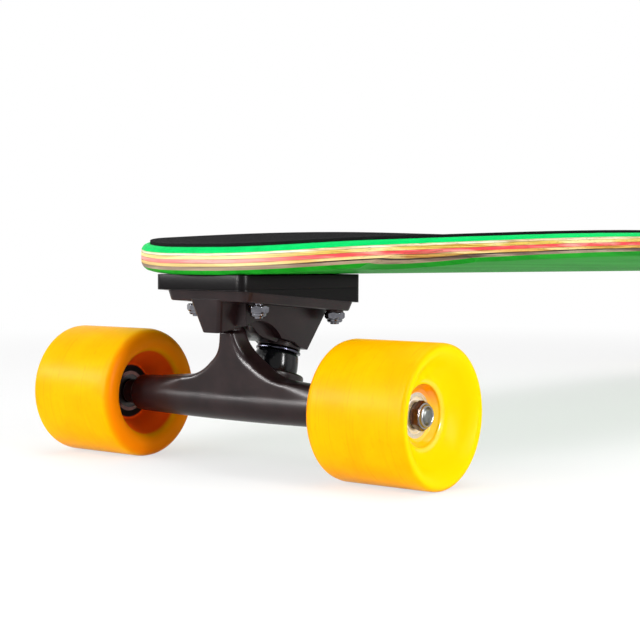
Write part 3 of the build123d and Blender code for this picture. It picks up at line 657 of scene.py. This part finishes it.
def solids_of(node):
    """The low and high corners of each separate solid of a node."""
    shell = bmesh.new()
    shell.from_mesh(NODES[node].data)
    bmesh.ops.remove_doubles(shell, verts=shell.verts, dist=SAME_PLACE)
    waiting = set(shell.verts)
    boxes = []
    while waiting:
        reached = [waiting.pop()]
        for vertex in reached:
            for edge in vertex.link_edges:
                other = edge.other_vert(vertex)
                if other in waiting:
                    waiting.remove(other)
                    reached.append(other)
        places = [vertex.co for vertex in reached]
        low = Vector([min(place[axis] for place in places) for axis in range(3)])
        high = Vector([max(place[axis] for place in places) for axis in range(3)])
        boxes.append((low, high))
    shell.free()
    return boxes


def softened(outline, radius, steps=5):
    """A closed outline with each corner turned into a small curve."""
    points = [Vector(point) for point in outline]
    eased = []
    for index, corner in enumerate(points):
        before = points[index - 1] - corner
        after = points[(index + 1) % len(points)] - corner
        start = corner + before.normalized() * min(radius, before.length * 0.45)
        end = corner + after.normalized() * min(radius, after.length * 0.45)
        for step in range(steps + 1):
            along = step / steps
            eased.append(start.lerp(corner, along).lerp(corner.lerp(end, along), along))
    return eased


def turn_mesh(mesh, outline, centre, axis, flats=None, segments=96):
    """Adds a turned ring to a mesh; with flats it is also cut to a hexagon of that width."""
    turn = Vector((0, 0, 1)).rotation_difference(axis)
    first = len(mesh.verts)
    count = len(outline)
    for step in range(segments):
        angle = 2 * pi * step / segments
        limit = flats / 2 / cos((angle + pi / 6) % (pi / 3) - pi / 6) if flats else None
        for radius, along in outline:
            reach = min(radius, limit) if flats else radius
            place = Vector((reach * cos(angle), reach * sin(angle), along))
            mesh.verts.new(centre + turn @ place)
    mesh.verts.ensure_lookup_table()
    for step in range(segments):
        this = first + step * count
        following = first + (step + 1) % segments * count
        for point in range(count):
            ahead = (point + 1) % count
            ring = (this + point, following + point, following + ahead, this + ahead)
            mesh.faces.new([mesh.verts[index] for index in ring])


def finish_mesh(name, mesh, sharp_angle=50.0):
    """A Blender mesh from a bmesh, smooth except over sharp edges."""
    bmesh.ops.recalc_face_normals(mesh, faces=mesh.faces)
    data = bpy.data.meshes.new(name)
    mesh.to_mesh(data)
    mesh.free()
    data.shade_smooth()
    data.set_sharp_from_angle(angle=radians(sharp_angle))
    return data


def middle_of(node):
    """The middle of a node's box."""
    low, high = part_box(node)
    return (low + high) / 2


def worked_mesh(mesh, *steps):
    """A new mesh: the given one with modifiers worked in."""
    carrier = bpy.data.objects.new("carrier", mesh)
    bpy.context.scene.collection.objects.link(carrier)
    for kind, settings in steps:
        modifier = carrier.modifiers.new(kind.lower(), kind)
        for key, value in settings.items():
            setattr(modifier, key, value)
    worked = carrier.evaluated_get(bpy.context.evaluated_depsgraph_get())
    result = bpy.data.meshes.new_from_object(worked)
    bpy.data.objects.remove(carrier)
    return result


def eased_block(node, slot, width, raised=0.0):
    """A cast, moulded or forged piece with its sharp edges broken, and its top raised where it has to be."""
    mesh = NODES[node].data.copy()
    shell = bmesh.new()
    shell.from_mesh(mesh)
    bmesh.ops.remove_doubles(shell, verts=shell.verts, dist=SAME_PLACE)
    bmesh.ops.dissolve_limit(shell, angle_limit=FLAT_WITHIN, verts=shell.verts, edges=shell.edges)
    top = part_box(node)[1].z
    for vertex in shell.verts:
        if vertex.co.z > top - SAME_HEIGHT:
            vertex.co.z += raised
    shell.to_mesh(mesh)
    shell.free()
    settings = {"width": width, "segments": EDGE_STEPS, "limit_method": "ANGLE", "angle_limit": EDGE_OVER}
    mesh = worked_mesh(mesh, ("BEVEL", settings))
    mesh.shade_smooth()
    mesh.set_sharp_from_angle(angle=SHARP_OVER)
    add_piece(node + "_eased", mesh, "deck", slot, node)


def share_of_way(value, start, full):
    """0 at start and before it, rising evenly to 1 at full; full may be the lower value."""
    return max(0.0, min(1.0, (value - start) / (full - start)))


def web_front(across, up):
    """How far ahead of the axle the hanger's front lies: barrel and web as one surface, its rim rounded."""
    barrel = BARREL_RADIUS - BARREL_TAPER * (across / BARREL_HALF_LENGTH) ** 2
    rim = FLARE_PLACE.y - FLARE_RADIUS - up
    inward = FLARE_PLACE.x - across
    if inward > 0:
        rim = hypot(inward, FLARE_PLACE.y - up) - FLARE_RADIUS
    web = share_of_way(across, BLEND_END, FLARE_PLACE.x)
    roundness = barrel + (WEB_RIM - barrel) * web
    short = 1 - min(max(rim / roundness, 0.0), 1.0)
    edge = roundness * (1 - (1 - short**2) ** 0.5)
    bow = barrel - max(barrel**2 - up**2, 0.0) ** 0.5
    set_back = (WEB_SET_BACK - WEB_LEAN * up) * web + bow * (1 - web)
    return barrel - min(bow, set_back) - edge * web


def flare_lift(across, up, forward):
    """How far up the two flares of the web are drawn."""
    lift = WEB_LIFT * share_of_way(up, *LIFT_ABOVE_AXLE) * share_of_way(forward, *LIFT_FORWARD)
    return lift * share_of_way(across, *LIFT_FROM_NECK) * share_of_way(across, *LIFT_TO_BARREL)


def boss_narrowing(across):
    """The hanger's width towards the end of the barrel, as a share of the barrel's."""
    boss_share = BOSS_RADIUS / (BARREL_RADIUS - BARREL_TAPER)
    return 1 - (1 - boss_share) * share_of_way(across, BOSS_START, BOSS_FULL)


def cast_hanger(end, body):
    """The hanger with its edges eased and its web run smoothly into the barrel, as poured metal has them."""
    node = f"{end}_hanger"
    ahead = -1 if end == "front" else 1
    axle_x = ahead * AXLE_X
    cells = ("REMESH", {"mode": "VOXEL", "voxel_size": CAST_CELL})
    ease = ("SMOOTH", {"factor": 0.5, "iterations": CAST_EASING})
    mesh = worked_mesh(NODES[node].data.copy(), cells)
    facings = [vertex.normal.x * ahead for vertex in mesh.vertices]
    for vertex, facing in zip(mesh.vertices, facings):
        across = abs(vertex.co.y)
        up = vertex.co.z - AXLE_Z
        forward = ahead * vertex.co.x - AXLE_X
        if 0 <= up < WEB_TOP and forward > 0 and across < BLEND_END:
            front = web_front(across, up)
            share = 1.0 if forward > front else share_of_way(facing, *WEB_FACING)
            share *= share_of_way(up, WEB_TOP, WEB_TOP * WEB_TOP_FADE)
            vertex.co.x += ahead * (front - forward) * share
        vertex.co.z += flare_lift(across, up, forward)
        if across > BOSS_START:
            narrow = boss_narrowing(across)
            vertex.co.x = axle_x + (vertex.co.x - axle_x) * narrow
            vertex.co.z = AXLE_Z + up * narrow
    mesh = worked_mesh(mesh, ease)
    mesh.shade_smooth()
    add_piece(node + "_cast", mesh, body, "truck_casting", node)


def flowing(points, steps=6):
    """A smooth line through the given points."""
    points = [Vector(point) for point in points]
    line = []
    for index in range(len(points) - 1):
        before = points[max(index - 1, 0)]
        here = points[index]
        there = points[index + 1]
        after = points[min(index + 2, len(points) - 1)]
        for step in range(steps):
            t = step / steps
            pull = (there - before) * t + (before * 2 - here * 5 + there * 4 - after) * t**2
            pull += (here * 3 - before - there * 3 + after) * t**3
            line.append(here + pull / 2)
    line.append(points[-1])
    return line


def turned_wheel(end, side):
    """A soft wheel: rounded lips, flowing dish outside, deep recess inside and stepped bearing seats."""
    node = f"{end}_{side}_wheel"
    low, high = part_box(node)
    centre = (low + high) / 2
    half = (high.y - low.y) / 2
    tread = (high.x - low.x) / 2
    dish = [(radius, half - depth) for radius, depth in OUTER_FACE]
    recess = [(radius, depth - half) for radius, depth in INNER_FACE]
    seats = [(radius, depth - half) for radius, depth in BEARING_SEATS]
    outer = flowing([(tread, half - OUTER_LIP), *dish])
    inner = flowing([*recess, (tread, INNER_LIP - half)])
    outward = Vector((0, 1 if side == "right" else -1, 0))
    mesh = bmesh.new()
    turn_mesh(mesh, [*outer, *seats, *inner], centre, outward, None, WHEEL_SEGMENTS)
    add_piece(node + "_turned", finish_mesh(node, mesh), f"{end}_{side}_wheel_body", "wheel_urethane", node)


def lock_nut(mesh, nut, seat, axis, height, collar):
    """Adds a lock nut standing on its seat: chamfered hexagon, then a rolled collar."""
    corner = nut.flats / 2 / cos(pi / 6)
    hexagon = height - collar
    outline = [
        (nut.bore, 0),
        (nut.flats / 2, 0),
        (corner, nut.chamfer * 0.6),
        (corner, hexagon - nut.chamfer),
        (nut.flats / 2 * 0.98, hexagon),
        (nut.collar_radius, hexagon),
        (nut.collar_radius, hexagon + collar * 0.6),
        (nut.collar_radius - collar * 0.4, hexagon + collar),
        (nut.bore + THREAD_LEAD, hexagon + collar * 0.9),
        (nut.bore, hexagon + collar * 0.6),
    ]
    turn_mesh(mesh, softened(outline, NUT_EDGE, 3), seat, axis, nut.flats)


def mounting_nuts(end):
    """The four plated lock nuts under a baseplate."""
    node = f"{end}_mounting_nuts"
    down = Vector((0, 0, -1))
    mesh = bmesh.new()
    for low, high in solids_of(node):
        seat = Vector(((low.x + high.x) / 2, (low.y + high.y) / 2, high.z))
        height = high.z - low.z
        lock_nut(mesh, MOUNTING_NUT, seat, down, height, height * MOUNTING_COLLAR_SHARE)
    add_piece(node + "_turned", finish_mesh(node, mesh), "deck", "bolt_steel", node)


def axle_nuts(end, body):
    """The dark lock nuts at both ends of an axle."""
    node = f"{end}_axle_nuts"
    mesh = bmesh.new()
    for low, high in solids_of(node):
        outward = 1 if low.y > 0 else -1
        start = low.y if outward > 0 else high.y
        seat = Vector(((low.x + high.x) / 2, start, (low.z + high.z) / 2))
        lock_nut(mesh, AXLE_NUT, seat, Vector((0, outward, 0)), high.y - low.y, AXLE_COLLAR)
    add_piece(node + "_turned", finish_mesh(node, mesh), body, "axle_nut_steel", node)


def bearing_shields(end, side):
    """Pressed bearing shields with a rolled rim and a shallow groove."""
    node = f"{end}_{side}_bearing_shields"
    mesh = bmesh.new()
    for low, high in solids_of(node):
        centre = (low + high) / 2
        outer = (high.x - low.x) / 2
        half = (high.y - low.y) / 2
        outward = Vector((0, 1 if centre.y > 0 else -1, 0))
        step = (outer - SHIELD_BORE) / 8
        outline = [
            (SHIELD_BORE, -half),
            (outer, -half),
            (outer, half),
            (outer - step, half),
            (outer - 1.5 * step, 0.2 * half),
            (outer - 2.5 * step, 0.2 * half),
            (outer - 3 * step, half),
            (SHIELD_BORE + 2 * step, half),
            (SHIELD_BORE + step, 0.4 * half),
            (SHIELD_BORE, 0.4 * half),
        ]
        turn_mesh(mesh, softened(outline, SHIELD_EDGE, 3), centre, outward, None, SHIELD_SEGMENTS)
    body = f"{end}_{side}_wheel_body"
    add_piece(node + "_pressed", finish_mesh(node, mesh), body, "bearing_shield", node)


def kingpin_axis(end):
    """Up along the kingpin: it leans towards the board's middle."""
    lean = 1 if end == "front" else -1
    return Vector((lean * sin(KINGPIN_TILT), 0, cos(KINGPIN_TILT)))


def bushing(end, place, sizes):
    """A glossy bushing between the kingpin's washer and the hanger."""
    node = f"{end}_{place}_side_bushing"
    low_radius, high_radius, height = sizes
    axis = kingpin_axis(end)
    centre = middle_of(node)
    side = []
    for row in range(BUSHING_ROWS + 1):
        along = row / BUSHING_ROWS
        radius = low_radius + (high_radius - low_radius) * along + BUSHING_BULGE * sin(pi * along)
        if row in (0, BUSHING_ROWS):
            radius -= BUSHING_ROUNDING
        side.append((radius, (along - 0.5) * height))
    outline = [(KINGPIN_BORE, -height / 2), *side, (KINGPIN_BORE, height / 2)]
    mesh = bmesh.new()
    turn_mesh(mesh, outline, centre, axis)
    piece = add_piece(node + "_moulded", finish_mesh(node, mesh, BUSHING_SHARP_OVER), None, "bushing", node)
    if place == "board":
        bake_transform(piece)
    else:
        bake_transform(piece)


def cup_washer(end):
    """The cupped washer over the board-side bushing, with a rounded shoulder."""
    node = f"{end}_board_side_washer"
    radius, thickness = BOARD_WASHER
    shoulder_start, shoulder_end = WASHER_SHOULDER
    half = thickness / 2
    outline = [
        (KINGPIN_BORE, -half),
        (radius, -half),
        (radius, half * 0.1),
        (radius - shoulder_start, half * 0.8),
        (radius - shoulder_end, half),
        (KINGPIN_BORE, half),
    ]
    mesh = bmesh.new()
    turn_mesh(mesh, softened(outline, WASHER_EDGE), middle_of(node), kingpin_axis(end))
    add_piece(node + "_pressed", finish_mesh(node, mesh), "deck", "washer_steel", node)


def kingpin_nut(end):
    """The lock nut at the road end of a kingpin."""
    node = f"{end}_kingpin_nut"
    axis = -kingpin_axis(end)
    seat = middle_of(node) - axis * KINGPIN_NUT_HEIGHT / 2
    mesh = bmesh.new()
    lock_nut(mesh, KINGPIN_NUT, seat, axis, KINGPIN_NUT_HEIGHT, KINGPIN_COLLAR)
    add_piece(node + "_turned", finish_mesh(node, mesh), "deck", "kingpin_steel", node)


for end in ENDS:
    hanger_body = f"{end}_hanger_body"
    cast_hanger(end, hanger_body)
    eased_block(f"{end}_baseplate", "truck_casting", BASEPLATE_EDGE)
    eased_block(f"{end}_riser_pad", "riser_plastic", RISER_EDGE)
    eased_block(f"{end}_mounting_bolts", "bolt_steel", BOLT_EDGE, BOLT_HEAD_RAISE)
    mounting_nuts(end)
    axle_nuts(end, hanger_body)
    bushing(end, "board", BOARD_BUSHING)
    bushing(end, "road", ROAD_BUSHING)
    cup_washer(end)
    kingpin_nut(end)
    for side in SIDES:
        turned_wheel(end, side)
        bearing_shields(end, side)


# Stage


def stage_paint():
    """White floor that looks white to the camera and in reflections and still takes a soft shadow."""
    paint = material_paint("stage_white")
    paint.surface(Base_Color=(FLOOR_TONE, FLOOR_TONE, FLOOR_TONE, 1.0), Roughness=0.9)
    lit = Wire(paint, paint.tree.nodes["Principled BSDF"].outputs[0])
    glow = paint.node("ShaderNodeEmission", None, {"Color": (1, 1, 1, 1), "Strength": 1.0})
    x, y, z = paint.axes(paint.place())
    away = (x**2 + y**2) ** 0.5
    amount = paint.straight_ray() * away.ramp(*GLOW_REACH, GLOW_NEAR, GLOW_FAR)
    both = paint.node("ShaderNodeMixShader", None, {0: amount, 1: lit, 2: glow})
    paint.join(paint.tree.nodes["Material Output"].inputs["Surface"], both)
    return paint.owner


def floor():
    """A wide level floor under the wheels."""
    mesh = bpy.data.meshes.new("floor")
    corners = [(x * FLOOR_HALF, y * FLOOR_HALF, 0) for x, y in ((-1, -1), (1, -1), (1, 1), (-1, 1))]
    mesh.from_pydata(corners, [], [(0, 1, 2, 3)])
    mesh.materials.append(stage_paint())
    ground = bpy.data.objects.new("floor", mesh)
    bpy.context.scene.collection.objects.link(ground)


def world():
    """Even white light; the camera and reflections see plain white."""
    paint = Paint(bpy.data.worlds.new("studio"))
    background = paint.tree.nodes["Background"]
    paint.join(background.inputs["Color"], (1, 1, 1, 1))
    paint.join(background.inputs["Strength"], WORLD_LIGHT + (1 - WORLD_LIGHT) * paint.straight_ray())
    bpy.context.scene.world = paint.owner


def lamps():
    """Large soft lamps, each turned towards the front truck."""
    for name, offset, width, height, power, lights in LAMPS:
        data = bpy.data.lights.new(name, "AREA")
        data.shape = "RECTANGLE"
        data.size = width
        data.size_y = height
        data.energy = power
        lamp = bpy.data.objects.new(name, data)
        lamp.location = TRUCK_PLACE + offset
        lamp.rotation_mode = "QUATERNION"
        lamp.rotation_quaternion = (-offset).to_track_quat("-Z", "Y")
        lamp.visible_diffuse = lights
        bpy.context.scene.collection.objects.link(lamp)


def camera():
    """The camera at the photograph's place."""
    heading = radians(CAMERA_HEADING)
    dip = radians(CAMERA_DIP)
    roll = radians(CAMERA_ROLL)
    ahead = Vector((cos(heading) * cos(dip), sin(heading) * cos(dip), -sin(dip)))
    level = Vector((sin(heading), -cos(heading), 0))
    down = ahead.cross(level)
    right = level * cos(roll) + down * sin(roll)
    up = level * sin(roll) - down * cos(roll)
    data = bpy.data.cameras.new("camera")
    data.sensor_width = SENSOR_MM
    data.lens = SENSOR_MM * CAMERA_FOCAL_PIXELS / PHOTO_PIXELS
    data.clip_start = CAMERA_NEAR
    data.clip_end = CAMERA_FAR
    eye = bpy.data.objects.new("camera", data)
    turn = Matrix((right, up, -ahead)).transposed().to_4x4()
    eye.matrix_world = Matrix.Translation(CAMERA_PLACE) @ turn
    bpy.context.scene.collection.objects.link(eye)
    bpy.context.scene.camera = eye


floor()
world()
lamps()
camera()
bpy.context.scene.view_settings.view_transform = "Standard"
